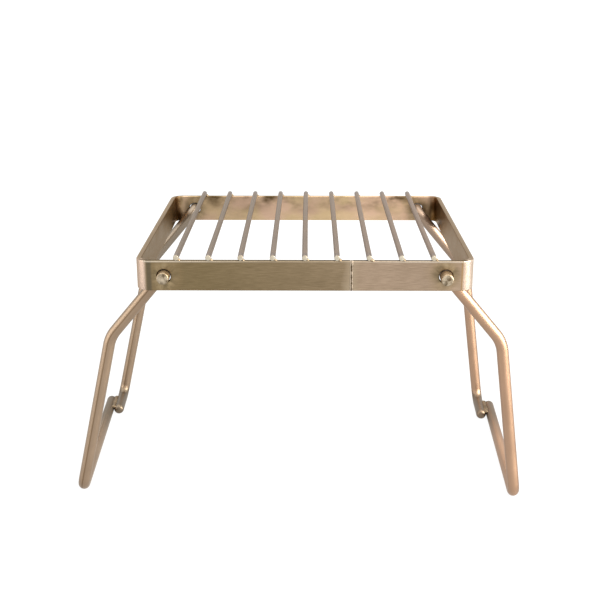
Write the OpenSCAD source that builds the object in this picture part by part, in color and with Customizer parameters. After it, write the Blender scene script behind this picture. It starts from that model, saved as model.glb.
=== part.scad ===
// Folding grate stand: a welded band with nine cross rods, on two hinged wire legs.
// X runs to the right, Y to the back and Z up. The stand rests on the plane Z = 0.

/* [Band] */
// Outer width of the band, left to right
band_w = 164; // [150:1:190]
// Outer depth of the band, front to back
band_d = 148; // [136:1:170]
// Height of the flat bar
bar_h = 15; // [14:0.5:20]
// Thickness of the flat bar
bar_t = 2.5; // [2:0.25:3]
// Outer radius of the bent corners
corner_r = 7; // [5:0.5:7.5]
// Radius along the edges of the flat bar
edge_r = 0.4; // [0.2:0.1:0.6]
// Distance of the butt weld from the middle of the front
seam_x = 22.5; // [10:0.5:40]
// Width of the butt weld
seam_w = 1.6; // [1:0.1:2.5]

/* [Rods] */
// Diameter of a cross rod
rod_d = 2.8; // [2:0.1:4]
// Distance from the side of the band to the middle of the first rod
rod_margin = 20; // [16:0.5:26]
// Radius of a weld spot at the end of a rod
spot_r = 1.3; // [1:0.1:1.6]

/* [Pivots] */
// Diameter of the holes in the band
hole_d = 6.7; // [6.7:0.1:8.4]
// Distance of a hole from the side face of the band
hole_inset = 13.9; // [13.6:0.1:14.4]
// Depth of a hole's centre under the top edge of the band
hole_drop = 7.7; // [7:0.05:8.5]
// Gap between the top of a hole and the pin that hangs there
pin_gap = 0.3; // [0.2:0.05:0.4]
// Length of pin past the band where the leg stands away from it
pin_stub_far = 5; // [3:0.2:8]
// Length of pin past the band where the leg stands close to it
pin_stub_near = 6.8; // [5:0.2:9]

/* [Legs] */
// Diameter of the leg wire
wire_d = 6; // [5:0.25:6.25]
// Height of the band's top edge above the ground
stand_h = 131.5; // [110:0.5:150]
// Length of the sloping arm from the pin to the knee
arm_len = 46.6; // [38:0.2:52]
// Bend at the knee of the left leg, in degrees
knee_angle_left = 27.2; // [24:0.2:34]
// Bend at the knee of the right leg, in degrees
knee_angle_right = 32.4; // [24:0.2:34]
// Gap between an open arm and the lower inner edge of the band
stop_gap = 1; // [0.4:0.1:1.4]
// Gap between a leg and the inner face of the band beside it
side_gap = 0.8; // [0.8:0.1:1.5]
// Gap between the two legs where they fold past each other
nest_gap = 0.4; // [0.3:0.1:1]
// Radius of the bend from the pin into the arm, on the wire's centre line
pin_bend_r = 4.5; // [4:0.25:5]
// Radius of the knee, on the wire's centre line
knee_r = 18; // [8:0.5:20]
// Radius of the bend into the foot bar, on the wire's centre line
foot_r = 7; // [5:0.25:9]
// Distance from the rear arm to the end of the long foot bar
long_end = 10.5; // [10:0.5:24]
// Length over which the long and the short foot bar lie side by side
lap = 17.5; // [14:0.5:30]
// Gap between the two foot bars where they are welded
lap_gap = 0.1; // [0.05:0.05:0.3]

/* [Hidden] */
$fn = 64;
rod_count = 9;

steel = [0.62, 0.56, 0.47];
rod_steel = [0.6, 0.56, 0.52];
weld_steel = [0.8, 0.74, 0.64];

// Sides and ends of the stand
LEFT = -1;
RIGHT = 1;
FRONT = -1;
REAR = 1;

wire_r = wire_d / 2;
bar_base = stand_h - bar_h;
end_chamfer = 0.6;
bend_swell = 0.03;
bend_bite = 0.3;
rod_chamfer = 0.25;
seam_proud = 0.15;

// A small punched dent in the end of each pin, off its middle
dent_r = 0.9;
dent_off = 0.9;

// Weld spot: a bead on the band's top edge, against one side of the rod
spot_in = 0.7 * spot_r;
spot_lift = 0.3 * spot_r;

// Foot weld: a bead in the groove on top of the two foot bars
bead_r = 0.4 * wire_r;
bead_lift = 0.62 * wire_r;
bead_run = 0.8 * lap;

// Pivot: the pin hangs at the top of its hole
pin_x = band_w / 2 - hole_inset;
hole_z = stand_h - hole_drop;
pin_z = hole_z + hole_d / 2 - pin_gap - wire_r;

// An open arm lies against the lower inner edge of the side bar
stop_dx = hole_inset - bar_t;
stop_dz = pin_z - bar_base;
arm_angle = atan2(stop_dz, stop_dx) + asin((wire_r + stop_gap) / norm([stop_dx, stop_dz]));
knee_x = pin_x + arm_len * cos(arm_angle);
knee_z = pin_z - arm_len * sin(arm_angle);
foot_left = foot_reach(knee_angle_left);
foot_right = foot_reach(knee_angle_right);

// The middle of the stand lies between its feet, so the band is moved by this much
middle = (foot_left - foot_right) / 2;

// Each leg stands close to the band at one end only, so that the two fold past each other
near_y = band_d / 2 - bar_t - side_gap - wire_r;
far_y = near_y - wire_d - nest_gap;
leg_w = near_y + far_y;

// The foot bars run askew by one wire, so that they lie side by side where they meet
skew = asin((wire_d + lap_gap) / leg_w);
long_run = leg_w - long_end;
short_run = long_end + lap;

function unit(v) = v / norm(v);
function foot_reach(knee_angle) = knee_x + (knee_z - wire_r) / tan(arm_angle + knee_angle);
function foot_x(side) = side == LEFT ? foot_left : foot_right;
function leg_y(side, end) = end * (end == -side ? near_y : far_y);
function stub(side, end) = end == -side ? pin_stub_near : pin_stub_far;
function rod_x(i) = (i / (rod_count - 1) - 0.5) * (band_w - 2 * rod_margin);

// Corners of a leg wire, from the free end of its pin to the free end of its foot bar.
// Left and right legs are both given as the right one, and the left one is mirrored.
function leg_path(side, end) =
    let (y = leg_y(side, end), run = end == FRONT ? long_run : short_run)
    [
        [pin_x, end * (band_d / 2 + stub(side, end)), pin_z],
        [pin_x, y, pin_z],
        [knee_x, y, knee_z],
        [foot_x(side), y, wire_r],
        [foot_x(side) - end * run * tan(skew), y - end * run, wire_r]
    ];

// Placing matrices: Z along v from point p, and a bend's plane from its centre
function along(p, v) =
    let (x = unit(cross(abs(v.z) < 0.9 ? [0, 0, 1] : [1, 0, 0], v)), y = cross(v, x))
    [[x.x, y.x, v.x, p.x], [x.y, y.y, v.y, p.y], [x.z, y.z, v.z, p.z], [0, 0, 0, 1]];
function across(p, x, y) =
    let (z = cross(x, y))
    [[x.x, y.x, z.x, p.x], [x.y, y.y, z.y, p.y], [x.z, y.z, z.z, p.z], [0, 0, 0, 1]];
function turn(path, i) =
    i <= 0 || i >= len(path) - 1 ? 0 : acos(unit(path[i] - path[i - 1]) * unit(path[i + 1] - path[i]));
function trim(path, radii, i) = turn(path, i) == 0 ? 0 : radii[i - 1] * tan(turn(path, i) / 2);

// A round bar from a to b, with a chamfer of this depth at each end
module bar(a, b, d, a_chamfer = 0, b_chamfer = 0) {
    length = norm(b - a);
    a_end = a_chamfer > 0 ? [[d / 2 - a_chamfer, 0], [d / 2, a_chamfer]] : [[d / 2, 0]];
    b_end = b_chamfer > 0 ? [[d / 2, length - b_chamfer], [d / 2 - b_chamfer, length]] : [[d / 2, length]];
    multmatrix(along(a, unit(b - a)))
        rotate_extrude() polygon(concat([[0, 0]], a_end, b_end, [[0, length]]));
}

module elbow(corner, u, v, r) {
    angle = acos(u * v);
    inward = unit(v - u * (u * v));
    centre = corner - u * r * tan(angle / 2) + inward * r;
    multmatrix(across(centre, -inward, u))
        rotate_extrude(angle = angle) translate([r, 0]) circle(d = wire_d + 2 * bend_swell);
}

// Each straight runs a little way into the bends beside it
module wire(path, radii) {
    last = len(path) - 1;
    for (i = [0 : last - 1]) {
        v = unit(path[i + 1] - path[i]);
        lead = i == 0 ? 0 : trim(path, radii, i) - bend_bite;
        tail = i == last - 1 ? 0 : trim(path, radii, i + 1) - bend_bite;
        bar(path[i] + v * lead, path[i + 1] - v * tail, wire_d,
            i == 0 ? end_chamfer : 0, i == last - 1 ? end_chamfer : 0);
    }
    for (i = [1 : last - 1])
        elbow(path[i], unit(path[i] - path[i - 1]), unit(path[i + 1] - path[i]), radii[i - 1]);
}

module on_side(side) {
    if (side == LEFT)
        translate([middle, 0, 0]) mirror([1, 0, 0]) children();
    else
        translate([middle, 0, 0]) children();
}

module leg(side, end) {
    path = leg_path(side, end);
    color(steel) on_side(side) difference() {
        wire(path, [pin_bend_r, knee_r, foot_r]);
        translate(path[0] + [dent_off, 0, -dent_off / 2]) sphere(r = dent_r);
    }
}

module foot_weld(side) {
    long_bar = leg_path(side, FRONT);
    short_bar = leg_path(side, REAR);
    v = unit(long_bar[4] - long_bar[3]);
    groove = [-v.y, v.x, 0] * (wire_d + lap_gap) / 2 + [0, 0, bead_lift];
    start = long_bar[4] + groove - v * (lap + bead_run) / 2;
    color(weld_steel) on_side(side) difference() {
        bar(start, start + v * bead_run, 2 * bead_r, bead_r / 2, bead_r / 2);
        bar(long_bar[3], long_bar[4] + v * wire_d, wire_d);
        bar(short_bar[4] - v * wire_d, short_bar[3], wire_d);
    }
}

module bar_section() {
    translate([edge_r, 0]) square([bar_t - 2 * edge_r, bar_h]);
    translate([0, edge_r]) square([bar_t, bar_h - 2 * edge_r]);
    for (x = [edge_r, bar_t - edge_r], y = [edge_r, bar_h - edge_r])
        translate([x, y]) circle(r = edge_r);
}

// One side of the band and the corner after it
module band_side(length, reach) {
    translate([-length / 2, -reach, bar_base])
        rotate([90, 0, 90]) linear_extrude(length) bar_section();
    translate([length / 2, -reach + corner_r, bar_base])
        rotate([0, 0, -90]) rotate_extrude(angle = 90)
            translate([corner_r, 0]) mirror([1, 0]) bar_section();
}

module seam_cut(depth, over) {
    translate([seam_x - seam_w / 2, -band_d / 2 - over, bar_base])
        cube([seam_w, depth, bar_h]);
}

module band() {
    long_side = band_w - 2 * corner_r;
    short_side = band_d - 2 * corner_r;
    color(steel) translate([middle, 0, 0]) difference() {
        for (turned = [0, 180]) rotate([0, 0, turned]) {
            band_side(long_side, band_d / 2);
            rotate([0, 0, 90]) band_side(short_side, band_w / 2);
        }
        for (side = [LEFT, RIGHT])
            translate([side * pin_x, band_d, hole_z])
                rotate([90, 0, 0]) cylinder(h = 2 * band_d, d = hole_d);
        seam_cut(2 * bar_t, bar_t / 2);
    }
}

module seam_weld() {
    color(weld_steel) translate([middle, 0, 0])
        seam_cut(bar_t + 2 * seam_proud, seam_proud);
}

module rod(i) {
    tip = [rod_x(i), -band_d / 2, stand_h + rod_d / 2];
    color(rod_steel) translate([middle, 0, 0])
        bar(tip, tip + [0, band_d, 0], rod_d, rod_chamfer, rod_chamfer);
}

module rod_welds(end) {
    color(weld_steel) translate([middle, 0, stand_h])
        for (i = [0 : rod_count - 1]) translate([rod_x(i), end * band_d / 2, 0]) difference() {
            translate([rod_d / 2, -end * spot_in, spot_lift]) sphere(r = spot_r);
            translate([0, 0, rod_d / 2]) rotate([90, 0, 0])
                cylinder(h = 4 * spot_r, d = rod_d, center = true);
            translate([-2 * spot_r, -2 * spot_r, -2 * spot_r])
                cube([6 * spot_r, 4 * spot_r, 2 * spot_r]);
        }
}

band();
seam_weld();
rod(0);  // rod_1
rod(1);  // rod_2
rod(2);  // rod_3
rod(3);  // rod_4
rod(4);  // rod_5
rod(5);  // rod_6
rod(6);  // rod_7
rod(7);  // rod_8
rod(8);  // rod_9
rod_welds(FRONT);  // front_rod_welds
rod_welds(REAR);  // rear_rod_welds
leg(LEFT, FRONT);  // left_front_leg
leg(LEFT, REAR);  // left_rear_leg
foot_weld(LEFT);  // left_foot_weld
leg(RIGHT, FRONT);  // right_front_leg
leg(RIGHT, REAR);  // right_rear_leg
foot_weld(RIGHT);  // right_foot_weld
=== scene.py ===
# %% [markdown]
# # A folding pot stand in bent stainless steel
# The stand is a flat bar bent into a rectangular band, nine wire rods across its top, and two
# legs of bent wire that hang in holes in the band. The solid model of it is the frame here.
# It already has every piece in its right place, so this lesson gives each piece the finish and
# the small forms that make bent, cut and welded steel look like itself.

# %% Load the frame
import math
import random

import bmesh
import bpy
from mathutils import Matrix, Vector, noise


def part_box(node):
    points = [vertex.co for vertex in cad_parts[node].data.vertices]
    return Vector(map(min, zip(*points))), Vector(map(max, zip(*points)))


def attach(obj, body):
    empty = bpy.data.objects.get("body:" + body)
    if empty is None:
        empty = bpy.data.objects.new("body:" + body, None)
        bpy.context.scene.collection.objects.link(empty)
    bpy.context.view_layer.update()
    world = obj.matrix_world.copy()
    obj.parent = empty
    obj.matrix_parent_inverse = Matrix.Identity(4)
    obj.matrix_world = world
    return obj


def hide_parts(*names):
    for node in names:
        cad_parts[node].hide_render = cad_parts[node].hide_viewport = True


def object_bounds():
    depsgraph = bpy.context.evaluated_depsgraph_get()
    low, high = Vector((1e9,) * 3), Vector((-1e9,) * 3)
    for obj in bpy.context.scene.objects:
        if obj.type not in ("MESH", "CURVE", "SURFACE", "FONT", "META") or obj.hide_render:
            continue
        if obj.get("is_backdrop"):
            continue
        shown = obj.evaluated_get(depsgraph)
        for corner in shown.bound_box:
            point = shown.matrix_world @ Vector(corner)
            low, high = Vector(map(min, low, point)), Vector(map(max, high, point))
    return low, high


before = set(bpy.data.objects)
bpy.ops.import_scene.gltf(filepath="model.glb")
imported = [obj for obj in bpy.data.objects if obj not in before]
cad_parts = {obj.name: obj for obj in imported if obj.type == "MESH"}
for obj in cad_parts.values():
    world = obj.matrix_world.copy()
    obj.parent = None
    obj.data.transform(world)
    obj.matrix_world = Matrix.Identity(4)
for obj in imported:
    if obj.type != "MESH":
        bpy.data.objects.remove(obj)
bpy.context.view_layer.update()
MM = 0.001

# %% [markdown]
# ## Sizes
# Every size that the new pieces need is read from the frame where it can be, so that they stay
# on the solids. The rest is repeated in millimetres where it is first needed, such as the bar's
# thickness here and the wire's bends later, because a frame holds shapes and not the numbers
# behind them.

# %% Sizes of the band
band_low, band_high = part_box("band")
MIDDLE = (band_low.x + band_high.x) / 2
HALF_W = (band_high.x - band_low.x) / 2
HALF_D = (band_high.y - band_low.y) / 2
BAR_BASE, BAR_TOP = band_low.z, band_high.z
BAR_T = 2.5 * MM
CORNER_R = 7 * MM
EDGE_R = 0.4 * MM
print("band %.1f x %.1f mm, top edge at %.1f mm" % (HALF_W * 2000, HALF_D * 2000, BAR_TOP * 1000))

# %% Sizes of the holes and the seam
seam_low, seam_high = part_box("seam_weld")
SEAM_X = (seam_low.x + seam_high.x) / 2
SEAM_W = seam_high.x - seam_low.x
HOLE_R = 3.35 * MM
HOLE_X = HALF_W - 13.9 * MM
HOLE_Z = BAR_TOP - 7.7 * MM
print("seam at %.1f mm, holes at %.1f mm from the middle" % (SEAM_X * 1000, HOLE_X * 1000))

# %% [markdown]
# ## The camera
# The camera comes first, because everything else is judged through it. It stands a little over
# half a metre in front of the stand and looks down at it by 18 degrees, with a longish lens.
# Its directions are worked out from three angles, so it can be turned by small amounts.

# %% Camera
IMAGE_WIDTH, FOCAL_PIXELS, SENSOR = 610, 1050, 36
CAMERA_PLACE = (MIDDLE + 2.09 * MM, -559.3 * MM, BAR_TOP + 137.03 * MM)
pitch, yaw, roll = math.radians(18.162), math.radians(-0.236), math.radians(0.042)
level_reach = math.cos(pitch)
forward = Vector((math.sin(yaw) * level_reach, math.cos(yaw) * level_reach, -math.sin(pitch)))
level_right = forward.cross(Vector((0, 0, 1))).normalized()
level_up = level_right.cross(forward)
right = level_right * math.cos(roll) + level_up * math.sin(roll)
up = right.cross(forward)

camera_data = bpy.data.cameras.new("camera")
camera_data.sensor_fit = "HORIZONTAL"
camera_data.sensor_width = SENSOR
camera_data.lens = FOCAL_PIXELS / IMAGE_WIDTH * SENSOR
camera = bpy.data.objects.new("camera", camera_data)
bpy.context.scene.collection.objects.link(camera)
turn = Matrix((right, up, -forward)).transposed()
camera.matrix_world = Matrix.Translation(CAMERA_PLACE) @ turn.to_4x4()
bpy.context.scene.camera = camera
print("lens %.1f mm, camera at" % camera_data.lens, [round(v, 3) for v in camera.location])

# %% [markdown]
# ## The stage
# Bare steel has hardly any colour of its own: it shows what stands round it. So the stage
# matters as much as the metal. A pale floor reaches past the view. A tall soft lamp and a low
# one stand at the right and a weak low one at the left, to draw light along the wires and the
# bent corners, and a broad one hangs above. The floor and the room behind it are white to the
# camera and in the metal's reflections, and lend the stand no more light than a grey room
# would. Close to the stand some of the floor's own grey is left, so that it keeps a shadow.

# %% Floor
floor_mesh = bpy.data.meshes.new("floor")
bm = bmesh.new()
bmesh.ops.create_grid(bm, x_segments=1, y_segments=1, size=15)
bm.to_mesh(floor_mesh)
bm.free()
floor = bpy.data.objects.new("floor", floor_mesh)
bpy.context.scene.collection.objects.link(floor)
floor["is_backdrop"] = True
print("floor 30 m square at z = 0")


# %% A short way to join nodes
def node(tree, kind, inputs=None, **settings):
    """Adds a node, sets its properties and gives its inputs values or links."""
    made = tree.nodes.new(kind)
    for key, value in settings.items():
        setattr(made, key, value)
    for key, value in (inputs or {}).items():
        if isinstance(value, bpy.types.NodeSocket):
            tree.links.new(value, made.inputs[key])
        else:
            made.inputs[key].default_value = value
    return made


def new_material(name):
    material = bpy.data.materials.new(name)
    material.use_nodes = True
    material.node_tree.nodes.clear()
    return material, material.node_tree


print("node helpers ready")


# %% Which rays see the white backdrop
def seen_as_backdrop(tree):
    """1 for the camera's own rays and for those off metal or through glass, otherwise 0."""
    sight = node(tree, "ShaderNodeLightPath")
    seen = node(tree, "ShaderNodeMath",
                {0: sight.outputs["Is Camera Ray"], 1: sight.outputs["Is Glossy Ray"]},
                operation="MAXIMUM")
    seen = node(tree, "ShaderNodeMath", {0: seen.outputs[0], 1: sight.outputs["Is Transmission Ray"]},
                operation="MAXIMUM")
    return seen.outputs[0]


print("backdrop helper ready")

# %% Floor material
floor_material, tree = new_material("pale_floor")
place = node(tree, "ShaderNodeTexCoord")
flat_place = node(tree, "ShaderNodeVectorMath", {0: place.outputs["Object"], 1: (1, 1, 0)},
                  operation="MULTIPLY")
reach = node(tree, "ShaderNodeVectorMath", {0: flat_place.outputs[0]}, operation="LENGTH")
open_floor = node(tree, "ShaderNodeMapRange", {"Value": reach.outputs["Value"], "From Min": 0.15,
                                               "From Max": 0.5, "To Min": 0.78, "To Max": 1.0})
paper = node(tree, "ShaderNodeBsdfDiffuse", {"Color": (0.40, 0.395, 0.39, 1)})
bright = node(tree, "ShaderNodeEmission", {"Color": (1, 1, 1, 1), "Strength": 1.2})
share = node(tree, "ShaderNodeMath", {0: seen_as_backdrop(tree), 1: open_floor.outputs[0]},
             operation="MULTIPLY")
mixed = node(tree, "ShaderNodeMixShader",
             {0: share.outputs[0], 1: paper.outputs[0], 2: bright.outputs[0]})
node(tree, "ShaderNodeOutputMaterial", {"Surface": mixed.outputs[0]})
floor_mesh.materials.append(floor_material)
print("floor is", floor_material.name)

# %% World
world = bpy.data.worlds.new("studio")
bpy.context.scene.world = world
world.use_nodes = True
tree = world.node_tree
tree.nodes.clear()
direction = node(tree, "ShaderNodeTexCoord")
height = node(tree, "ShaderNodeSeparateXYZ", {0: direction.outputs["Generated"]})
fade = node(tree, "ShaderNodeMapRange", {"Value": height.outputs["Z"], "From Min": 0.15, "From Max": 0.9,
                                         "To Min": 0.22, "To Max": 0.6})
room = node(tree, "ShaderNodeBackground", {"Color": (1.0, 0.985, 0.965, 1), "Strength": fade.outputs[0]})
open_white = node(tree, "ShaderNodeBackground", {"Color": (1, 1, 1, 1), "Strength": 1.0})
chosen = node(tree, "ShaderNodeMixShader",
              {0: seen_as_backdrop(tree), 1: room.outputs[0], 2: open_white.outputs[0]})
node(tree, "ShaderNodeOutputWorld", {"Surface": chosen.outputs[0]})
print("world set")


# %% Lamps
def soft_lamp(name, place, aim, width, height, watts, colour):
    data = bpy.data.lights.new(name, "AREA")
    data.shape = "RECTANGLE"
    data.size, data.size_y = width, height
    data.energy = watts
    data.color = colour
    lamp = bpy.data.objects.new(name, data)
    bpy.context.scene.collection.objects.link(lamp)
    away = (Vector(aim) - Vector(place)).normalized()
    lamp.matrix_world = Matrix.Translation(place) @ away.to_track_quat("-Z", "Y").to_matrix().to_4x4()


soft_lamp("right_lamp", (1.0, -0.35, 0.6), (0, 0, 0.08), 0.5, 0.9, 28.8, (1.0, 0.95, 0.88))
soft_lamp("right_low_lamp", (0.62, -0.32, 0.22), (0, 0, 0.08), 0.5, 0.4, 4.8, (1.0, 0.95, 0.88))
soft_lamp("left_low_lamp", (-0.55, -0.22, 0.17), (0, 0, 0.08), 0.4, 0.3, 1.4, (1.0, 0.96, 0.92))
soft_lamp("top_lamp", (-0.1, -0.1, 1.1), (0, 0, 0.1), 2.4, 1.8, 27.2, (1.0, 0.98, 0.94))

# %% [markdown]
# ## Turning a mesh into a piece
# Each new piece is built in a bmesh, in its true place, and its object stays at the origin.
# Steel that has been bent or rolled is smooth with crisp edges, so faces are shaded smooth and
# only sharp angles are marked. A weighted normal then keeps the broad flat faces truly flat.


# %% Finish a piece
def finish_piece(name, bm, body, replaced, materials, sharp=35, weighted=True):
    bmesh.ops.recalc_face_normals(bm, faces=bm.faces)
    for face in bm.faces:
        face.smooth = True
    mesh = bpy.data.meshes.new(name)
    bm.to_mesh(mesh)
    bm.free()
    mesh.set_sharp_from_angle(angle=math.radians(sharp))
    for material in materials:
        mesh.materials.append(material)
    piece = bpy.data.objects.new(name, mesh)
    bpy.context.scene.collection.objects.link(piece)
    if weighted:
        flat = piece.modifiers.new("flat_faces_stay_flat", "WEIGHTED_NORMAL")
        flat.keep_sharp = True
        flat.weight = 50
    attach(piece, body)
    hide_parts(replaced)
    print(name, "has", len(mesh.polygons), "faces")


# %% [markdown]
# ## Steel with a history
# One look won't do for the whole stand. The flat bar is rolled and brushed lengthways, so it has
# fine streaks and catches light in bands. Welding and cooking leave straw, brown and grey round
# the seam, the holes and the rod ends. Drawn wire is smoother, with faint lines along it. All
# of these are patterns on the metal's own coordinates, so they stay put when the stand moves.
# The colours are mixed as for clean steel, and at the end they are all taken down by half:
# painted shade that stands in for the darker room the steel would mirror, because clean steel
# in a white room would look white.

# %% Helpers for patterns
def object_xyz(tree):
    place = node(tree, "ShaderNodeTexCoord")
    return place.outputs["Object"]


def stretched_noise(tree, vector, scales, detail=4.0, roughness=0.6):
    """Noise that is drawn out along the axes with small scales."""
    fitted = node(tree, "ShaderNodeVectorMath", {0: vector, 1: scales}, operation="MULTIPLY")
    grain = node(tree, "ShaderNodeTexNoise",
                 {"Vector": fitted.outputs[0], "Scale": 1.0, "Detail": detail, "Roughness": roughness})
    return grain.outputs[0]


def ramp(tree, value, stops):
    """A colour for each value, through the given stops."""
    made = node(tree, "ShaderNodeValToRGB", {0: value})
    while len(made.color_ramp.elements) < len(stops):
        made.color_ramp.elements.new(0.5)
    for element, (position, colour) in zip(made.color_ramp.elements, stops):
        element.position = position
        element.color = (*colour, 1)
    return made.outputs[0]


def remap(tree, value, low, high, to_low=0.0, to_high=1.0):
    """Turns low to high into to_low to to_high, and holds the value at both ends."""
    made = node(tree, "ShaderNodeMapRange", {"Value": value, "From Min": low, "From Max": high,
                                             "To Min": to_low, "To Max": to_high})
    return made.outputs[0]


def math_node(tree, operation, *values):
    made = node(tree, "ShaderNodeMath", operation=operation)
    for index, value in enumerate(values):
        if isinstance(value, bpy.types.NodeSocket):
            tree.links.new(value, made.inputs[index])
        else:
            made.inputs[index].default_value = value
    return made.outputs[0]


def mix_colour(tree, share, first, second):
    made = node(tree, "ShaderNodeMix", data_type="RGBA")
    for index, value in ((0, share), (6, first), (7, second)):
        if isinstance(value, bpy.types.NodeSocket):
            tree.links.new(value, made.inputs[index])
        elif index == 0:
            made.inputs[0].default_value = value
        else:
            made.inputs[index].default_value = (*value, 1)
    return made.outputs[2]


def tinted(tree, colour, tint):
    made = node(tree, "ShaderNodeMix", data_type="RGBA", blend_type="MULTIPLY")
    made.inputs[0].default_value = 1.0
    tree.links.new(colour, made.inputs[6])
    if isinstance(tint, bpy.types.NodeSocket):
        tree.links.new(tint, made.inputs[7])
    else:
        made.inputs[7].default_value = (*tint, 1)
    return made.outputs[2]


print("pattern helpers ready")


# %% Short names for sums
def times(tree, first, second):
    return math_node(tree, "MULTIPLY", first, second)


def plus(tree, first, second):
    return math_node(tree, "ADD", first, second)


def minus(tree, first, second):
    return math_node(tree, "SUBTRACT", first, second)


def size_of(tree, value):
    return math_node(tree, "ABSOLUTE", value)


def span(tree, first, second):
    """How long a step is that goes first one way and second across it."""
    return math_node(tree, "SQRT", plus(tree, times(tree, first, first), times(tree, second, second)))


print("sums ready")

# %% The end of every steel
# painted shade: every steel colour is halved to stand in for a darker room in its reflections
PAINTED_ROOM_SHADE = (0.5, 0.5, 0.5)


def bumped(tree, strength, depth, height, under=None):
    """A relief from a pattern, laid over another relief if one is given."""
    inputs = {"Strength": strength, "Distance": depth, "Height": height}
    if under is not None:
        inputs["Normal"] = under
    return node(tree, "ShaderNodeBump", inputs).outputs[0]


def steel_surface(tree, colour, rough, relief, edge_on=(1, 1, 1, 1)):
    """Joins a steel to its output. edge_on is the tint of what it mirrors at a low angle."""
    # the base colour is halved here by the painted room shade
    steel = node(tree, "ShaderNodeBsdfPrincipled",
                 {"Base Color": tinted(tree, colour, PAINTED_ROOM_SHADE), "Specular Tint": edge_on, "Metallic": 1.0,
                  "Roughness": rough, "Normal": relief})
    node(tree, "ShaderNodeOutputMaterial", {"Surface": steel.outputs[0]})


print("steel helpers ready")

# %% [markdown]
# ### The flat bar
# Streaks run along the bar on all four sides, because they vary quickly with height and slowly
# along it, and a cloudy layer breaks them up, as handling and polishing do. The bar is also
# painted lighter and warmer from left to right, as painted light from the lamps at the right. On
# the front that change comes with a step at the seam, where the bar's two ends meet.

# %% Band material
band_steel, tree = new_material("brushed_flat_bar")
xyz = object_xyz(tree)
split = node(tree, "ShaderNodeSeparateXYZ", {0: xyz})
y_place, z_place = split.outputs["Y"], split.outputs["Z"]
across = minus(tree, split.outputs["X"], MIDDLE)
sideways = size_of(tree, across)
streaks = stretched_noise(tree, xyz, (150, 150, 3200), 6, 0.72)
long_streaks = stretched_noise(tree, xyz, (60, 60, 900), 4, 0.65)
clouds = stretched_noise(tree, xyz, (42, 42, 90), 4, 0.6)
grit = stretched_noise(tree, xyz, (700, 700, 1500), 3, 0.6)
metal = ramp(tree, clouds, [(0.30, (0.35, 0.245, 0.135)), (0.52, (0.42, 0.30, 0.172)),
                            (0.72, (0.50, 0.36, 0.22))])
dark_streak = ramp(tree, streaks, [(0.35, (0.28, 0.195, 0.105)), (0.65, (0.54, 0.39, 0.235))])
metal = mix_colour(tree, 0.6, metal, dark_streak)
print("streaks and clouds ready")

# %% Painted light from left to right
SEAM_STEP = SEAM_X - MIDDLE
on_back = remap(tree, y_place, -1 * MM, 1 * MM)
past_seam = remap(tree, across, SEAM_STEP - 1 * MM, SEAM_STEP + 1 * MM)
painted_light_half = math_node(tree, "MAXIMUM", on_back, past_seam)
# painted light: the outer face grows lighter and warmer towards the right, where the lamps stand
painted_light_share = times(tree, remap(tree, across, -0.6 * HALF_W, 0.6 * HALF_W),
                    remap(tree, painted_light_half, 0, 1, 0.45, 1.12))
metal = tinted(tree, metal, mix_colour(tree, painted_light_share, (0.90, 0.93, 0.84), (1.66, 1.72, 2.10)))
print("outer face colours ready")

# %% [markdown]
# The inner faces were never brushed. The rear one is painted light and peach, a painted
# reflection of the bright light from above that grows lighter towards the right, with brown
# stains that hang from its top edge. The two sides are painted darker, as painted shade. The
# rear corners carry painted shade in their hollows, darker lower down, and each has a light
# patch beside it.

# %% Rear inner face
rightness = remap(tree, across, -0.6 * HALF_W, 0.5 * HALF_W)
back_gap = minus(tree, HALF_D - 0.5 * BAR_T, y_place)
on_rear = times(tree, remap(tree, back_gap, 0.0, 0.2 * MM), remap(tree, back_gap, 12 * MM, 4 * MM))
# painted reflection: the rear inner face is much lighter than the outer steel, and lighter towards the
# right
rear_metal = ramp(tree, clouds, [(0.25, (0.48, 0.335, 0.21)), (0.5, (0.64, 0.45, 0.295)),
                                 (0.75, (0.72, 0.51, 0.34))])
rear_painted_light = mix_colour(tree, rightness, (1.42, 1.46, 1.50), (1.86, 1.94, 1.92))
rear_metal = tinted(tree, rear_metal, rear_painted_light)
patches = stretched_noise(tree, xyz, (52, 52, 75), 3, 0.5)
patch_tint = mix_colour(tree, remap(tree, patches, 0.40, 0.60), (1.06, 1.00, 1.06), (1.0, 1.01, 0.89))
rear_metal = tinted(tree, rear_metal, patch_tint)
stain_noise = stretched_noise(tree, xyz, (70, 70, 110), 3, 0.5)
from_top = minus(tree, BAR_TOP, z_place)
stain = times(tree, remap(tree, stain_noise, 0.47, 0.68), remap(tree, from_top, 11 * MM, 2 * MM))
rear_metal = mix_colour(tree, stain, rear_metal, (0.21, 0.135, 0.06))
metal = mix_colour(tree, on_rear, metal, rear_metal)
print("rear inner face ready")

# %% Side inner faces
side_gap = minus(tree, HALF_W - 0.5 * BAR_T, sideways)
on_side = times(tree, remap(tree, side_gap, 0.0, 0.2 * MM), remap(tree, side_gap, 4 * MM, 2 * MM))
on_right = remap(tree, across, -1 * MM, 1 * MM)
on_left = minus(tree, 1.0, on_right)
# painted shade: the inner sides are darkened, the right one more
painted_side_shade = mix_colour(tree, on_right, (0.62, 0.50, 0.40), (0.50, 0.40, 0.28))
metal = mix_colour(tree, on_side, metal, tinted(tree, metal, painted_side_shade))
print("side inner faces ready")

# %% Rear corners
corner_u = minus(tree, sideways, HALF_W - CORNER_R)
corner_v = minus(tree, y_place, HALF_D - CORNER_R)
light_patch = times(tree, remap(tree, corner_u, -5 * MM, -1.5 * MM),
                    remap(tree, corner_u, 0.8 * MM, -0.3 * MM))
light_patch = times(tree, times(tree, light_patch, on_rear), remap(tree, on_right, 0, 1, 0.95, 0.4))
metal = mix_colour(tree, light_patch, metal, (1.35, 1.0, 0.68))
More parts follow.
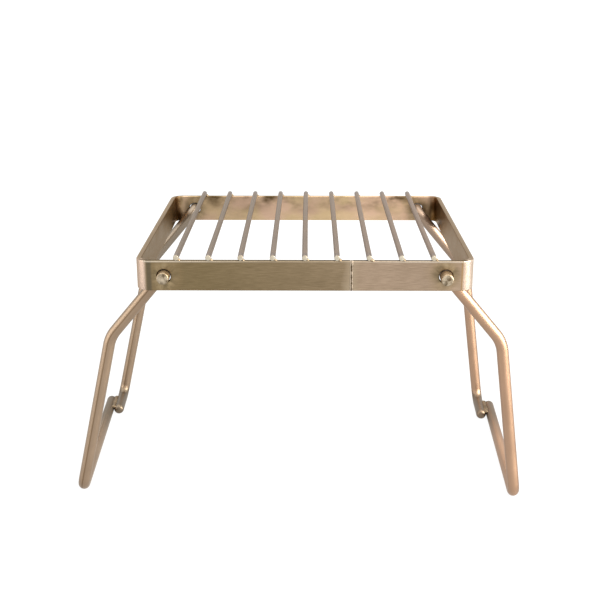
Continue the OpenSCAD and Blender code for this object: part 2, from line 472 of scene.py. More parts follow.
# painted shade: a dark wedge in each rear corner's hollow, wider and deeper towards the bottom
corner_shade_u = plus(tree, corner_u, times(tree, on_right, 1.2 * MM))
corner_shade = times(tree, remap(tree, corner_shade_u, 0.2 * MM, 2.6 * MM), remap(tree, corner_v, 0.0, 2.0 * MM))
corner_shade = times(tree, corner_shade, remap(tree, span(tree, corner_u, corner_v), 6.0 * MM, 5.6 * MM))
shade_depth = plus(tree, remap(tree, from_top, 1 * MM, 11 * MM, 0.35, 0.93), times(tree, on_right, 0.3))
corner_shade = times(tree, corner_shade, math_node(tree, "MINIMUM", shade_depth, 0.95))
metal = mix_colour(tree, corner_shade, metal, (0.15, 0.07, 0.018))
print("rear corners ready")

# %% [markdown]
# Heat has left its marks too. Round each pivot hole lies straw and brown that spreads unevenly
# outwards, with a dark rim of painted shade at the hole itself, where the gap round the pin is
# in shade. The seam has a pale halo.

# %% Heat round the holes
hole_dx = minus(tree, sideways, HOLE_X)
hole_dz = minus(tree, z_place, HOLE_Z)
near_hole = span(tree, hole_dx, hole_dz)
wander = remap(tree, clouds, 0.3, 0.7, -1.8 * MM, 1.8 * MM)
hole_ring = plus(tree, near_hole, wander)
straw = times(tree, remap(tree, hole_ring, 10 * MM, 4.2 * MM), 0.6)
metal = mix_colour(tree, straw, metal, (0.60, 0.42, 0.22))
way_out = node(tree, "ShaderNodeCombineXYZ", {0: math_node(tree, "DIVIDE", hole_dx, near_hole),
                                              1: math_node(tree, "DIVIDE", hole_dz, near_hole),
                                              2: times(tree, near_hole, 70)})
scorch_noise = stretched_noise(tree, way_out.outputs[0], (1.5, 1.5, 2), 4, 0.6)
scorch = ramp(tree, scorch_noise, [(0.36, (0.20, 0.165, 0.09)), (0.50, (0.36, 0.28, 0.16)),
                                   (0.60, (0.66, 0.50, 0.29)), (0.74, (0.90, 0.73, 0.47))])
scorched = times(tree, remap(tree, hole_ring, 8 * MM, 4.2 * MM), 0.65)
metal = mix_colour(tree, scorched, metal, scorch)
# painted shade: a dark ring at the rim of each hole
hole_rim_shade = remap(tree, near_hole, HOLE_R + 0.5 * MM, HOLE_R + 0.1 * MM, 0, 0.85)
metal = mix_colour(tree, hole_rim_shade, metal, (0.10, 0.065, 0.03))
print("hole marks ready")

# %% Heat at the seam
seam_gap = plus(tree, size_of(tree, minus(tree, split.outputs["X"], SEAM_X)), wander)
on_front = remap(tree, y_place, -HALF_D + 1.6 * BAR_T, -HALF_D + 1.2 * BAR_T)
seam_heat = times(tree, remap(tree, seam_gap, 4.5 * MM, 1 * MM), on_front)
metal = mix_colour(tree, times(tree, seam_heat, 0.75), metal, (0.74, 0.58, 0.40))
print("seam marks ready")

# %% [markdown]
# Both front corners are painted cream, a painted highlight of the light at the sides. A thin
# brown line marks where the right bend starts, and a broader dark one by the left is a painted
# dark reflection beside its highlight.

# %% Front corners
front_v = minus(tree, -HALF_D + CORNER_R, y_place)
# painted highlight: the two front bends are painted cream
left_bend_highlight = times(tree, remap(tree, corner_u, 1.3 * MM, 2.7 * MM), on_left)
right_bend_highlight = times(tree, remap(tree, corner_u, 0.4 * MM, 3.8 * MM), on_right)
painted_bend_highlight = times(tree, plus(tree, left_bend_highlight, right_bend_highlight), remap(tree, front_v, 0.0, 1.5 * MM))
bend_highlight_colour = mix_colour(tree, on_right, (0.85, 0.65, 0.52), (0.96, 0.79, 0.66))
metal = mix_colour(tree, times(tree, painted_bend_highlight, 0.95), metal, bend_highlight_colour)
by_front = remap(tree, y_place, -HALF_D + 0.8 * CORNER_R, -HALF_D + 0.5 * CORNER_R)
right_line = remap(tree, size_of(tree, minus(tree, corner_u, 0.8 * MM)), 0.6 * MM, 0.2 * MM)
right_line = times(tree, times(tree, right_line, on_right), by_front)
metal = mix_colour(tree, times(tree, right_line, 0.7), metal, (0.58, 0.36, 0.14))
# painted reflection: a dark band beside the left corner's highlight
left_dark_reflection = remap(tree, size_of(tree, minus(tree, corner_u, 0.3 * MM)), 1.7 * MM, 0.7 * MM)
left_dark_reflection = times(tree, times(tree, left_dark_reflection, by_front), on_left)
metal = mix_colour(tree, times(tree, left_dark_reflection, 0.72), metal, (0.19, 0.16, 0.11))
print("front corners ready")

# %% [markdown]
# The rounded outer corner of the top edge carries a painted highlight, brightest near the two
# ends of the front. The narrow top face itself is painted dark there.

# %% Top edge
top_face = remap(tree, from_top, 0.14 * MM, 0.05 * MM)
front_wall = remap(tree, y_place, -HALF_D + 2.7 * MM, -HALF_D + 2.5 * MM)
front_top = times(tree, top_face, front_wall)
metal = mix_colour(tree, times(tree, front_top, 0.85), metal, (0.13, 0.10, 0.065))
side_wall = remap(tree, sideways, HALF_W - 2.7 * MM, HALF_W - 2.5 * MM)
side_top = times(tree, times(tree, top_face, side_wall), minus(tree, 1.0, front_wall))
metal = mix_colour(tree, times(tree, side_top, 0.8), metal, (0.60, 0.47, 0.35))
# painted highlight: a bright line along the top edge's outer corner at the front
edge_highlight = remap(tree, size_of(tree, minus(tree, from_top, 0.45 * MM)), 0.42 * MM, 0.15 * MM)
edge_highlight = times(tree, edge_highlight, remap(tree, y_place, -HALF_D + 1.0 * MM, -HALF_D + 0.4 * MM))
edge_highlight = times(tree, edge_highlight, remap(tree, sideways, 18 * MM, 60 * MM, 0.25, 0.85))
metal = mix_colour(tree, edge_highlight, metal, (1.0, 0.87, 0.70))
print("edge colours ready")

# %% Band surface
rough = plus(tree, remap(tree, streaks, 0.3, 0.7, 0.30, 0.42), remap(tree, clouds, 0.3, 0.7, -0.03, 0.06))
relief = bumped(tree, 0.25, 0.10 * MM, streaks)
relief = bumped(tree, 0.16, 0.25 * MM, long_streaks, relief)
relief = bumped(tree, 0.12, 0.08 * MM, grit, relief)
steel_surface(tree, metal, rough, relief, edge_on=(0.80, 0.72, 0.61, 1))
print(band_steel.name, "has", len(tree.nodes), "nodes")

# %% [markdown]
# ### Drawn wire
# A drawing die leaves faint lines along the wire, all the way round its bends. So the pattern
# needs to know how far along the wire a point is, and where it lies round the section. Each
# wire carries that as an attribute called drawn: two numbers across, one along. The bent wires
# have one called outer too, which goes from -1 to 1 round the wire, for the painted reflection
# bands that run along it.

# %% What only the bent wires have
def bent_colours(tree, colour, rightness):
    """Painted reflection bands round the section, golden pins, cooler rear arms, and foot bars that darken
    towards their weld.
    """
    outer = node(tree, "ShaderNodeAttribute", attribute_name="outer").outputs["Fac"]
    outer = remap(tree, outer, -1, 1)
    # painted reflection: bands of light and dark round each leg wire, different on the left leg and the
    # right
    left_painted_bands = ramp(tree, outer, [(0.0, (0.80, 0.80, 0.80)), (0.50, (0.82, 0.81, 0.80)),
                                   (0.59, (0.50, 0.44, 0.36)), (0.68, (0.84, 0.83, 0.82)),
                                   (1.0, (0.72, 0.74, 0.76))])
    right_painted_bands = ramp(tree, outer, [(0.0, (0.74, 0.76, 0.78)), (0.30, (0.84, 0.84, 0.84)),
                                    (0.62, (0.96, 0.95, 0.94)), (0.82, (0.78, 0.78, 0.78)),
                                    (1.0, (0.46, 0.45, 0.44))])
    colour = tinted(tree, colour, mix_colour(tree, rightness, left_painted_bands, right_painted_bands))
    colour = tinted(tree, colour, (1.22, 1.22, 1.22))
    split = node(tree, "ShaderNodeSeparateXYZ", {0: object_xyz(tree)})
    y_place, z_place = split.outputs["Y"], split.outputs["Z"]
    on_pin = remap(tree, size_of(tree, y_place), HALF_D - 0.5 * MM, HALF_D + 0.3 * MM)
    colour = mix_colour(tree, times(tree, on_pin, 0.7), colour, (0.55, 0.43, 0.27))
    rear_arm = times(tree, remap(tree, z_place, 84 * MM, 96 * MM), remap(tree, y_place, -10 * MM, 10 * MM))
    colour = mix_colour(tree, rear_arm, colour, tinted(tree, colour, (0.80, 0.90, 1.0)))
    by_weld = times(tree, remap(tree, z_place, 9 * MM, 6.5 * MM), remap(tree, y_place, -5 * MM, 30 * MM))
    return mix_colour(tree, times(tree, by_weld, 0.8), colour, (0.27, 0.22, 0.16))


print("bent wire helper ready")


# %% What only the rods have
def heated_ends(tree, colour, cold, y_place, patches):
    """Brown to grey towards both ends of a rod, with an uneven start."""
    end_gap = minus(tree, HALF_D, size_of(tree, y_place))
    wobble = remap(tree, patches, 0.3, 0.7, -2 * MM, 2 * MM)
    heat = remap(tree, plus(tree, end_gap, wobble), 13 * MM, 0.0)
    heat_colour = ramp(tree, heat, [(0.0, cold), (0.35, (0.46, 0.34, 0.23)), (0.65, (0.40, 0.30, 0.24)),
                                    (0.85, (0.36, 0.31, 0.29)), (1.0, (0.50, 0.42, 0.33))])
    return mix_colour(tree, remap(tree, heat, 0.05, 0.5, 0, 0.6), colour, heat_colour)


print("rod end helper ready")


# %% Wire material
def wire_material(name, low, high, roughness, left_painted_light, right_painted_light, bent=False, hot_ends=False):
    material, tree = new_material(name)
    drawn = node(tree, "ShaderNodeAttribute", attribute_name="drawn").outputs["Vector"]
    lines = stretched_noise(tree, drawn, (1500, 1500, 9), 4, 0.6)
    patches = stretched_noise(tree, drawn, (90, 90, 45), 4, 0.6)
    blotches = stretched_noise(tree, drawn, (30, 30, 14), 2, 0.5)
    line_colour = tuple(0.7 * v for v in low)
    blotch_colour = (high[0] * 1.04, high[1] * 0.93, high[2] * 0.86)
    colour = mix_colour(tree, remap(tree, patches, 0.3, 0.7), low, high)
    colour = mix_colour(tree, times(tree, remap(tree, lines, 0.4, 0.7), 0.25), colour, line_colour)
    colour = mix_colour(tree, times(tree, remap(tree, blotches, 0.45, 0.7), 0.3), colour, blotch_colour)
    split = node(tree, "ShaderNodeSeparateXYZ", {0: object_xyz(tree)})
    # painted light: the wires are lighter towards the right, where the lamps stand
    rightness = remap(tree, split.outputs["X"], MIDDLE - HALF_W, MIDDLE + HALF_W)
    colour = tinted(tree, colour, mix_colour(tree, rightness, left_painted_light, right_painted_light))
    if bent:
        colour = bent_colours(tree, colour, rightness)
    if hot_ends:
        colour = heated_ends(tree, colour, high, split.outputs["Y"], patches)
    rough = plus(tree, remap(tree, lines, 0.3, 0.7, -0.04, 0.05),
                 remap(tree, patches, 0.3, 0.7, roughness - 0.04, roughness + 0.05))
    relief = bumped(tree, 0.10, 0.08 * MM, lines)
    steel_surface(tree, colour, rough, bumped(tree, 0.15, 0.4 * MM, patches, relief))
    print(name, "has", len(tree.nodes), "nodes")
    return material


leg_steel = wire_material("drawn_leg_wire", (0.48, 0.345, 0.235), (0.56, 0.41, 0.285), 0.46,
                          (1.14, 1.16, 1.18), (1.46, 1.31, 1.27), bent=True)
rod_steel = wire_material("drawn_rod_wire", (0.475, 0.362, 0.277), (0.55, 0.428, 0.338), 0.45,
                          (0.68, 0.69, 0.64), (0.94, 0.89, 0.86), hot_ends=True)

# %% [markdown]
# ### Weld metal and cut ends
# Weld metal is grainy. The spots on the rods are straw-coloured, and the beads on the foot bars
# darker and browner. The rods were ground off at the front, so their ends are bright and
# scratched all one way. The pins' ends were sheared and are dark and bright in patches.

# %% Weld and cut-end materials
def bright_material(name, low, high, roughness, grain_scale, depth):
    material, tree = new_material(name)
    xyz = object_xyz(tree)
    grain = stretched_noise(tree, xyz, grain_scale, 4, 0.6)
    spots = stretched_noise(tree, xyz, (400, 400, 400), 3, 0.6)
    colour = mix_colour(tree, remap(tree, spots, 0.35, 0.65), low, high)
    rough = remap(tree, grain, 0.3, 0.7, roughness - 0.06, roughness + 0.08)
    steel_surface(tree, colour, rough, bumped(tree, 0.5, depth, grain))
    print(name, "has", len(tree.nodes), "nodes")
    return material


spot_steel = bright_material("spot_welds", (0.40, 0.30, 0.185), (0.60, 0.48, 0.33), 0.5,
                             (900, 900, 900), 0.10 * MM)
foot_weld_steel = bright_material("foot_weld_metal", (0.24, 0.175, 0.11), (0.42, 0.31, 0.20), 0.46,
                                  (700, 700, 700), 0.12 * MM)
cut_steel = bright_material("cut_ends", (0.90, 0.79, 0.60), (1.0, 0.92, 0.75), 0.5,
                            (300, 1800, 2600), 0.06 * MM)
pin_end_steel = bright_material("sheared_pin_ends", (0.21, 0.15, 0.085), (0.92, 0.78, 0.58), 0.5,
                                (600, 600, 900), 0.30 * MM)

# %% [markdown]
# ## The band
# The real band starts as one straight flat bar. It is bent round four corners until its ends
# meet at the front, where a weld closes it. The mesh is made the same way: the bar's section is
# pushed along each side and spun round each corner, from one side of the seam to the other.


# %% The bar's section
def bar_section(bm, x):
    """A loop of edges: the section of the flat bar, standing across X at the front."""
    inner = -HALF_D + BAR_T
    corners = [bm.verts.new((x, y, z)) for y, z in (
        (-HALF_D, BAR_BASE), (inner, BAR_BASE), (inner, BAR_TOP), (-HALF_D, BAR_TOP))]
    bm.faces.new(corners)
    bmesh.ops.bevel(bm, geom=corners, offset=EDGE_R, offset_type="OFFSET", segments=4, profile=0.5,
                    affect="VERTICES", clamp_overlap=True, material=-1)
    bm.faces.ensure_lookup_table()
    section = bm.faces[0]
    edges = list(section.edges)
    bmesh.ops.delete(bm, geom=[section], context="FACES_ONLY")
    return edges


def push(bm, edges, step):
    made = bmesh.ops.extrude_edge_only(bm, edges=edges)["geom"]
    verts = [g for g in made if isinstance(g, bmesh.types.BMVert)]
    bmesh.ops.translate(bm, verts=verts, vec=step)
    return [g for g in made if isinstance(g, bmesh.types.BMEdge) and all(v in verts for v in g.verts)]


print("section helpers ready")


# %% A bend
def bend(bm, edges, centre, axis, angle, steps):
    made = bmesh.ops.spin(bm, geom=edges, cent=centre, axis=axis, angle=angle, steps=steps,
                          use_merge=False, use_normal_flip=False, use_duplicate=False)["geom_last"]
    verts = {g for g in made if isinstance(g, bmesh.types.BMVert)}
    return [g for g in made if isinstance(g, bmesh.types.BMEdge) and all(v in verts for v in g.verts)]


print("bending helper ready")

# %% Bend the bar into a band
UPRIGHT, QUARTER, BEND_STEPS = (0, 0, 1), math.pi / 2, 14
bm = bmesh.new()
gap = SEAM_W / 2
edges = bar_section(bm, SEAM_X + gap)
first_end = list(edges)
to_right = MIDDLE + HALF_W - CORNER_R
to_left = MIDDLE - HALF_W + CORNER_R
side_run = 2 * (HALF_D - CORNER_R)
edges = push(bm, edges, (to_right - SEAM_X - gap, 0, 0))
edges = bend(bm, edges, (to_right, -HALF_D + CORNER_R, 0), UPRIGHT, QUARTER, BEND_STEPS)
edges = push(bm, edges, (0, side_run, 0))
edges = bend(bm, edges, (to_right, HALF_D - CORNER_R, 0), UPRIGHT, QUARTER, BEND_STEPS)
edges = push(bm, edges, (to_left - to_right, 0, 0))
edges = bend(bm, edges, (to_left, HALF_D - CORNER_R, 0), UPRIGHT, QUARTER, BEND_STEPS)
edges = push(bm, edges, (0, -side_run, 0))
edges = bend(bm, edges, (to_left, -HALF_D + CORNER_R, 0), UPRIGHT, QUARTER, BEND_STEPS)
edges = push(bm, edges, (SEAM_X - gap - to_left, 0, 0))
for end in (first_end, edges):
    bmesh.ops.edgeloop_fill(bm, edges=end)
band_bm = bm
print("bent bar:", len(bm.verts), "vertices")

# %% [markdown]
# ### Drill the holes
# Each hole goes through its wall and is wide enough for the wire to hang loosely in it. A drill
# leaves a small broken edge. The cutter is one turned shape: a straight middle that flares out
# at both faces of the bar, so that one cut makes the hole and both of its broken edges.


# %% Drill
def hole_cutter(bm, x, y):
    """A turned cutter round the Y direction that flares at both faces of the bar."""
    flare, past = 0.25 * MM, 1 * MM
    half = BAR_T / 2
    wide = HOLE_R + flare + past
    outline = [(0, -half - past), (wide, -half - past), (HOLE_R, -half + flare),
               (HOLE_R, half - flare), (wide, half + past), (0, half + past)]
    verts = [bm.verts.new((x + r, y + along, HOLE_Z)) for r, along in outline]
    lines = [bm.edges.new(pair) for pair in zip(verts, verts[1:])]
    bmesh.ops.spin(bm, geom=verts + lines, cent=(x, y, HOLE_Z), axis=(0, 1, 0), angle=math.tau, steps=56,
                   use_merge=True)


cutter_bm = bmesh.new()
for side in (-1, 1):
    for wall in (-1, 1):
        hole_cutter(cutter_bm, MIDDLE + side * HOLE_X, wall * (HALF_D - BAR_T / 2))
bmesh.ops.remove_doubles(cutter_bm, verts=cutter_bm.verts, dist=1e-7)
bmesh.ops.recalc_face_normals(cutter_bm, faces=cutter_bm.faces)
cutter_mesh = bpy.data.meshes.new("cutter")
cutter_bm.to_mesh(cutter_mesh)
cutter_bm.free()
cutter = bpy.data.objects.new("cutter", cutter_mesh)
bpy.context.scene.collection.objects.link(cutter)
bmesh.ops.recalc_face_normals(band_bm, faces=band_bm.faces)
blank_mesh = bpy.data.meshes.new("blank")
band_bm.to_mesh(blank_mesh)
band_bm.free()
blank = bpy.data.objects.new("blank", blank_mesh)
bpy.context.scene.collection.objects.link(blank)
drill = blank.modifiers.new("drill", "BOOLEAN")
drill.operation, drill.solver, drill.object = "DIFFERENCE", "EXACT", cutter
drilled = bpy.data.meshes.new_from_object(blank.evaluated_get(bpy.context.evaluated_depsgraph_get()))
bpy.data.objects.remove(blank)
bpy.data.objects.remove(cutter)
print("drilled band:", len(drilled.polygons), "faces")

# %% The band as a piece
band_bm = bmesh.new()
band_bm.from_mesh(drilled)
finish_piece("bent_band", band_bm, "grate", "band", [band_steel], sharp=32)

# %% [markdown]
# ### The butt weld
# The seam is ground nearly flush. It shows as a dark ragged line with a thin bright edge at each
# side. The bead is a fine grid on both faces of the bar, pushed out a little and unevenly where
# weld metal stands proud.

# %% Seam material
seam_steel, tree = new_material("ground_seam")
xyz = object_xyz(tree)
split = node(tree, "ShaderNodeSeparateXYZ", {0: xyz})
off_line = size_of(tree, minus(tree, split.outputs["X"], SEAM_X))
ragged = stretched_noise(tree, xyz, (300, 300, 500), 4, 0.7)
off_line = plus(tree, off_line, remap(tree, ragged, 0.3, 0.7, -0.35 * MM, 0.40 * MM))
bright_edge = remap(tree, off_line, 0.15 * MM, 0.40 * MM)
colour = mix_colour(tree, bright_edge, (0.17, 0.115, 0.065), (0.85, 0.69, 0.52))
steel_surface(tree, colour, 0.42, bumped(tree, 0.4, 0.10 * MM, ragged))
print(seam_steel.name, "has", len(tree.nodes), "nodes")

# %% Seam weld
bm = bmesh.new()
made = bmesh.ops.create_cube(bm, size=1)
bmesh.ops.scale(bm, vec=(SEAM_W, BAR_T, BAR_TOP - BAR_BASE), verts=made["verts"])
bmesh.ops.translate(bm, vec=(SEAM_X, -HALF_D + BAR_T / 2, (BAR_TOP + BAR_BASE) / 2), verts=made["verts"])
bmesh.ops.bevel(bm, geom=bm.edges[:], offset=0.3 * MM, offset_type="OFFSET", segments=2, profile=0.5,
                affect="EDGES", clamp_overlap=True, material=-1)
tall = [e for e in bm.edges if e.calc_length() > 5 * MM]
bmesh.ops.subdivide_edges(bm, edges=tall, cuts=28, use_grid_fill=True)
wide = [e for e in bm.edges if abs(e.verts[0].co.x - e.verts[1].co.x) > 0.8 * MM]
bmesh.ops.subdivide_edges(bm, edges=wide, cuts=3, use_grid_fill=True)
for v in bm.verts:
    across_share = min(1, abs(v.co.x - SEAM_X) / (SEAM_W / 2))
    ripple = noise.noise(Vector((v.co.x * 900, 3.7, v.co.z * 650)))
    out = -1 if v.co.y < -HALF_D + BAR_T / 2 else 1
    v.co.y += out * (0.06 + 0.07 * ripple) * MM * (1 - across_share ** 2)
finish_piece("seam_bead", bm, "grate", "seam_weld", [seam_steel])

# %% [markdown]
# ## Round wire
# Rods and legs are wire, so one way of making them serves both. A circle of edges is pushed
# along each straight and spun round each bend, the way a wire bender works. Each ring of
# vertices is given its place across and along the wire, for the drawing lines. The ends are
# closed with a cap and bevelled: finely where the wire was cut, and in many wide steps, which
# make a dome, where it was rounded off.


# %% Wire maker
class Wire:
    """A round wire that grows from its first ring."""

    def __init__(self, start, heading, radius, segments):
        self.bm = bmesh.new()
        self.drawn = self.bm.verts.layers.float_vector.new("drawn")
        self.radius = radius
        self.heading = heading.normalized()
        self.place = start.copy()
        self.length = 0.0
        made = bmesh.ops.create_circle(self.bm, cap_ends=False, segments=segments, radius=radius)
        for v in made["verts"]:
            v[self.drawn] = (v.co.x, v.co.y, 0)
        seat = Matrix.Translation(start) @ self.heading.to_track_quat("Z", "X").to_matrix().to_4x4()
        bmesh.ops.transform(self.bm, matrix=seat, verts=made["verts"])
        self.edges = list(self.bm.edges)
        self.first = list(self.edges)

    def mark(self, before):
        """Gives the newest ring its length along the wire."""
        for v in self.bm.verts:
            if v not in before:
                across, down, _ = v[self.drawn]
                v[self.drawn] = (across, down, self.length)

    def run(self, length, steps=1):
        for _ in range(steps):
            before = set(self.bm.verts)
            self.edges = push(self.bm, self.edges, self.heading * (length / steps))
            self.length += length / steps
            self.place += self.heading * (length / steps)
            self.mark(before)

    def turn(self, new_heading, radius, steps):
        new_heading = new_heading.normalized()
        angle = self.heading.angle(new_heading)
        axis = self.heading.cross(new_heading).normalized()
        inward = axis.cross(self.heading)
        centre = self.place + inward * radius
        for _ in range(steps):
            before = set(self.bm.verts)
            self.edges = bend(self.bm, self.edges, centre, axis, angle / steps, 1)
            self.length += radius * angle / steps
            self.mark(before)
        self.place = centre + Matrix.Rotation(angle, 3, axis) @ (self.place - centre)
        self.heading = new_heading

    def cap(self, edges, bevel, cut_material=1, segments=3):
        """Closes an end, bevels its rim and gives back the flat face that is left."""
        made = bmesh.ops.edgeloop_fill(self.bm, edges=edges)["faces"]
        made[0].material_index = cut_material
        rim = list(made[0].edges)
        done = bmesh.ops.bevel(self.bm, geom=rim, offset=bevel, offset_type="OFFSET", segments=segments,
                               profile=0.5, affect="EDGES", clamp_overlap=True, material=-1)
        return made[0] if made[0].is_valid else max(done["faces"], key=lambda f: f.calc_area())


print("wire maker ready")

# %% [markdown]
# ## The rods
# Nine rods lie on the band's top edge from front to back. They are thin enough to be a little
# out of straight, so each one bows by a tenth of a millimetre or so, differently every time.
# Their front ends are cut flush with the band, and show as small bright discs.

# %% Rods
RODS = range(1, 10)
for number in RODS:
    low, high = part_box("rod_%d" % number)
    radius = (high.x - low.x) / 2
    axis_x, axis_z = (low.x + high.x) / 2, (low.z + high.z) / 2
    wire = Wire(Vector((axis_x, low.y, axis_z)), Vector((0, 1, 0)), radius, 28)
    wire.run(high.y - low.y, steps=24)
    for edges_at_end in (wire.first, wire.edges):
        wire.cap(edges_at_end, 0.25 * MM)
    rng = random.Random(40 + number)
    sway, lift = rng.uniform(-0.16, 0.16) * MM, rng.uniform(-0.02, 0.05) * MM
    for v in wire.bm.verts:
        bow = math.sin(math.pi * (v.co.y - low.y) / (high.y - low.y))
        v.co.x += sway * bow
        v.co.z += lift * bow
    finish_piece("rod_%d_wire" % number, wire.bm, "grate", "rod_%d" % number,
                 [rod_steel, cut_steel], sharp=40, weighted=False)

# %% [markdown]
# ### The spots of weld at the rod ends
# Each rod is fixed by a spot of weld on one side of each end. Every spot is a small round lump
# of its own, sunk in the corner between rod and band. A sphere is squashed, leaned over and
# roughened a little, so that no two are alike.


# %% Rod welds
def rod_welds(name, replaced, end, seed):
    rng = random.Random(seed)
    bm = bmesh.new()
    for number in RODS:
        low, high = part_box("rod_%d" % number)
        rod_x = (low.x + high.x) / 2
        radius = rng.uniform(0.9, 1.1) * MM
        made = bmesh.ops.create_uvsphere(bm, u_segments=20, v_segments=12, radius=radius)
        verts = made["verts"]
        squash = (rng.uniform(1.0, 1.25), rng.uniform(0.85, 1.1), rng.uniform(0.72, 0.9))
        bmesh.ops.scale(bm, vec=squash, verts=verts)
        lean = Matrix.Rotation(rng.uniform(0.2, 0.7), 3, "Y")
        bmesh.ops.rotate(bm, cent=(0, 0, 0), matrix=lean, verts=verts)
        for v in verts:
            lump = noise.noise(v.co * 1100 + Vector((number * 3.1, seed, 0)))
            v.co += v.co.normalized() * lump * 0.16 * MM
        inset = rng.uniform(0.75, 1.05) * MM
        seat = Vector((rod_x + 1.25 * MM, end * (HALF_D - inset), BAR_TOP + 0.25 * MM))
        bmesh.ops.translate(bm, vec=seat, verts=verts)
    finish_piece(name, bm, "grate", replaced, [spot_steel], sharp=60, weighted=False)


rod_welds("front_weld_spots", "front_rod_welds", -1, 11)
rod_welds("rear_weld_spots", "rear_rod_welds", 1, 23)

# %% [markdown]
# ## The legs
# A leg is two wires. Each starts as a short pin in its hole, turns down into a sloping arm, bends
# again at the knee and once more at the foot. There the two foot bars run side by side and are
# welded. The corner points below are where the wire's straights would meet, and each bend has
# its own radius, as set on a bending tool.

# The arm's slope follows from its stop: when the leg is open, the arm lies STOP_GAP away from
# the lower inner edge of the band's side.

# %% Leg sizes
WIRE_R = 3 * MM
PIN_Z = 123.85 * MM
ARM = 46.6 * MM
LAP = 17.5 * MM
LONG_END = 10.5 * MM
NEAR_Y, FAR_Y = 67.7 * MM, 61.3 * MM
NEAR_PIN, FAR_PIN = 6.8 * MM, 5.0 * MM
BARS_APART, ARMS_APART = 6.1 * MM, NEAR_Y + FAR_Y
STOP_GAP = 1 * MM
SKEW = math.asin(BARS_APART / ARMS_APART)
stop_dx, stop_dz = HALF_W - HOLE_X - BAR_T, PIN_Z - BAR_BASE
ARM_ANGLE = math.atan2(stop_dz, stop_dx) + math.asin((WIRE_R + STOP_GAP) / math.hypot(stop_dx, stop_dz))
KNEE = Vector((HOLE_X + ARM * math.cos(ARM_ANGLE), 0, PIN_Z - ARM * math.sin(ARM_ANGLE)))
KNEE_BEND = {-1: math.radians(27.2), 1: math.radians(32.4)}
print("arm angle %.2f degrees" % math.degrees(ARM_ANGLE))


# %% Corner points
def leg_corners(side, end):
    """Pin tip, pin bend, knee, foot and bar end. side and end are -1 or 1."""
    near = end == -side
    y = end * (NEAR_Y if near else FAR_Y)
    tip_y = end * (HALF_D + (NEAR_PIN if near else FAR_PIN))
    foot_x = KNEE.x + (KNEE.z - WIRE_R) / math.tan(ARM_ANGLE + KNEE_BEND[side])
    run = ARMS_APART - LONG_END if end < 0 else LONG_END + LAP
    points = [(HOLE_X, tip_y, PIN_Z), (HOLE_X, y, PIN_Z), (KNEE.x, y, KNEE.z), (foot_x, y, WIRE_R),
              (foot_x - end * run * math.tan(SKEW), y - end * run, WIRE_R)]
    return [Vector((MIDDLE + side * x, y, z)) for x, y, z in points]


print("left front corners", [[round(v * 1000, 1) for v in point] for point in leg_corners(-1, -1)])

# %% [markdown]
# ### The sheared end of a pin
# A pin's end was cut with shears, so it is uneven and torn in at one side of its middle. Seven
# rings inside the flat end give it enough points, and each is pushed in by the depth of the
# tear and by a little noise.


# %% Shear a pin
def sheared_end(bm, face, tip, side):
    """Rings across the flat end, roughened, with a dent off its middle."""
    for _ in range(7):
        bmesh.ops.inset_region(bm, faces=[face], thickness=0.32 * MM, depth=0)
    inward = Vector((0, -1 if tip.y > 0 else 1, 0))
    dent = tip + Vector((side * 0.9 * MM, 0, -0.45 * MM))
    rim = 0.9 * MM
    for v in bm.verts:
        if abs(v.co.y - tip.y) > 0.01 * MM or (v.co - tip).length > 2.3 * MM:
            continue
        off = (v.co - dent).length
        sink = 0.75 * math.sqrt(max(0.0, rim ** 2 - off ** 2))
        grain = noise.noise(v.co * 1300) * 0.07 * MM + noise.noise(v.co * 420) * 0.10 * MM
        v.co += inward * (sink + 0.10 * MM + grain)


print("pin end helper ready")

# %% [markdown]
# ### Bend the wires
# Each straight between two bends is shorter than the way between its corner points, by what
# the bends take up. The pins turn tightly, the knees widely and the feet in between.


# %% Bend a leg wire
BENDS = [(4.5 * MM, 18), (18 * MM, 14), (7 * MM, 18)]  # radius and rings at the pin, knee and foot
RING_STEP = 12 * MM


def leg_wire(side, end):
    points = leg_corners(side, end)
    wire = Wire(points[0], points[1] - points[0], WIRE_R, 44)
    used = 0.0
    for i, (radius, rings) in enumerate(BENDS, start=1):
        before, after = points[i] - points[i - 1], points[i + 1] - points[i]
        trim = radius * math.tan(before.angle(after) / 2)
        wire.run(before.length - used - trim, steps=max(1, round(before.length / RING_STEP)))
        wire.turn(after, radius, rings)
        used = trim
    wire.run((points[4] - points[3]).length - used, steps=6)
    pin_face = wire.cap(wire.first, 0.6 * MM)
    wire.cap(wire.edges, 2.3 * MM, cut_material=0, segments=7)
    sheared_end(wire.bm, pin_face, points[0], side)
    outer = wire.bm.verts.layers.float.new("outer")
    for v in wire.bm.verts:
        across, down, _ = v[wire.drawn]
        v[outer] = (across * math.cos(ARM_ANGLE) - side * end * down * math.sin(ARM_ANGLE)) / WIRE_R
    return wire


print("leg bender ready")

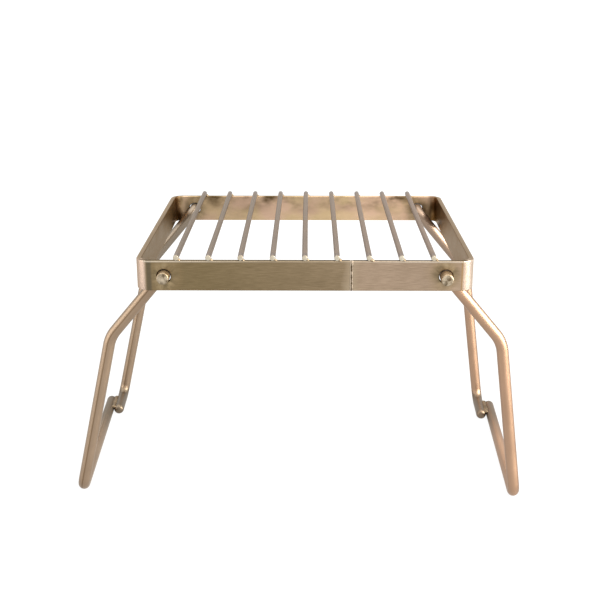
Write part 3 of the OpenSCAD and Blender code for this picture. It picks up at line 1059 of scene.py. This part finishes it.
# %% The four leg wires
for side, side_name in ((-1, "left"), (1, "right")):
    for end, end_name in ((-1, "front"), (1, "rear")):
        node_name = "%s_%s_leg" % (side_name, end_name)
        finish_piece(node_name + "_wire", leg_wire(side, end).bm, side_name + "_leg", node_name,
                     [leg_steel, pin_end_steel], sharp=40, weighted=False)

# %% [markdown]
# ### The foot welds
# Where the foot bars lie side by side, a row of overlapping weld puddles fills the groove
# between them. Each puddle is a flattened ball, and together they read as a rippled bead.


# %% Foot welds
PUDDLES, PUDDLE_STEP, PUDDLE_R = 13, 1.22 * MM, 1.22 * MM


def foot_weld(side, side_name):
    long_bar, short_bar = leg_corners(side, -1), leg_corners(side, 1)
    heading = (long_bar[4] - long_bar[3]).normalized()
    near_end = long_bar[4] - heading * LAP
    middle = (long_bar[4] + near_end) / 2
    across = Vector((-heading.y, heading.x, 0))
    if (short_bar[4] - long_bar[4]).dot(across) < 0:
        across = -across
    groove = middle + across * (BARS_APART / 2) + Vector((0, 0, 0.60 * WIRE_R))
    rng = random.Random(70 + side)
    bm = bmesh.new()
    for i in range(PUDDLES):
        made = bmesh.ops.create_uvsphere(bm, u_segments=20, v_segments=12, radius=PUDDLE_R)
        verts = made["verts"]
        size = rng.uniform(0.92, 1.08)
        bmesh.ops.scale(bm, vec=(1.15 * size, 0.95, 0.78 * size), verts=verts)
        lean = Matrix.Rotation(math.radians(12), 3, "X")
        bmesh.ops.rotate(bm, cent=(0, 0, 0), matrix=lean, verts=verts)
        shift = heading * ((i - (PUDDLES - 1) / 2) * PUDDLE_STEP)
        bmesh.ops.translate(bm, vec=groove + shift, verts=verts)
    finish_piece(side_name + "_foot_bead", bm, side_name + "_leg", side_name + "_foot_weld",
                 [foot_weld_steel], sharp=60, weighted=False)


foot_weld(-1, "left")
foot_weld(1, "right")

# %% [markdown]
# ## View settings
# The picture is shown as it is, with no film-like curve. The last lines print how large the
# finished stand is.

# %% Finish
bpy.context.scene.view_settings.view_transform = "Standard"
low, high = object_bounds()
print("stand", [[round(v * 1000, 2) for v in corner] for corner in (low, high)])
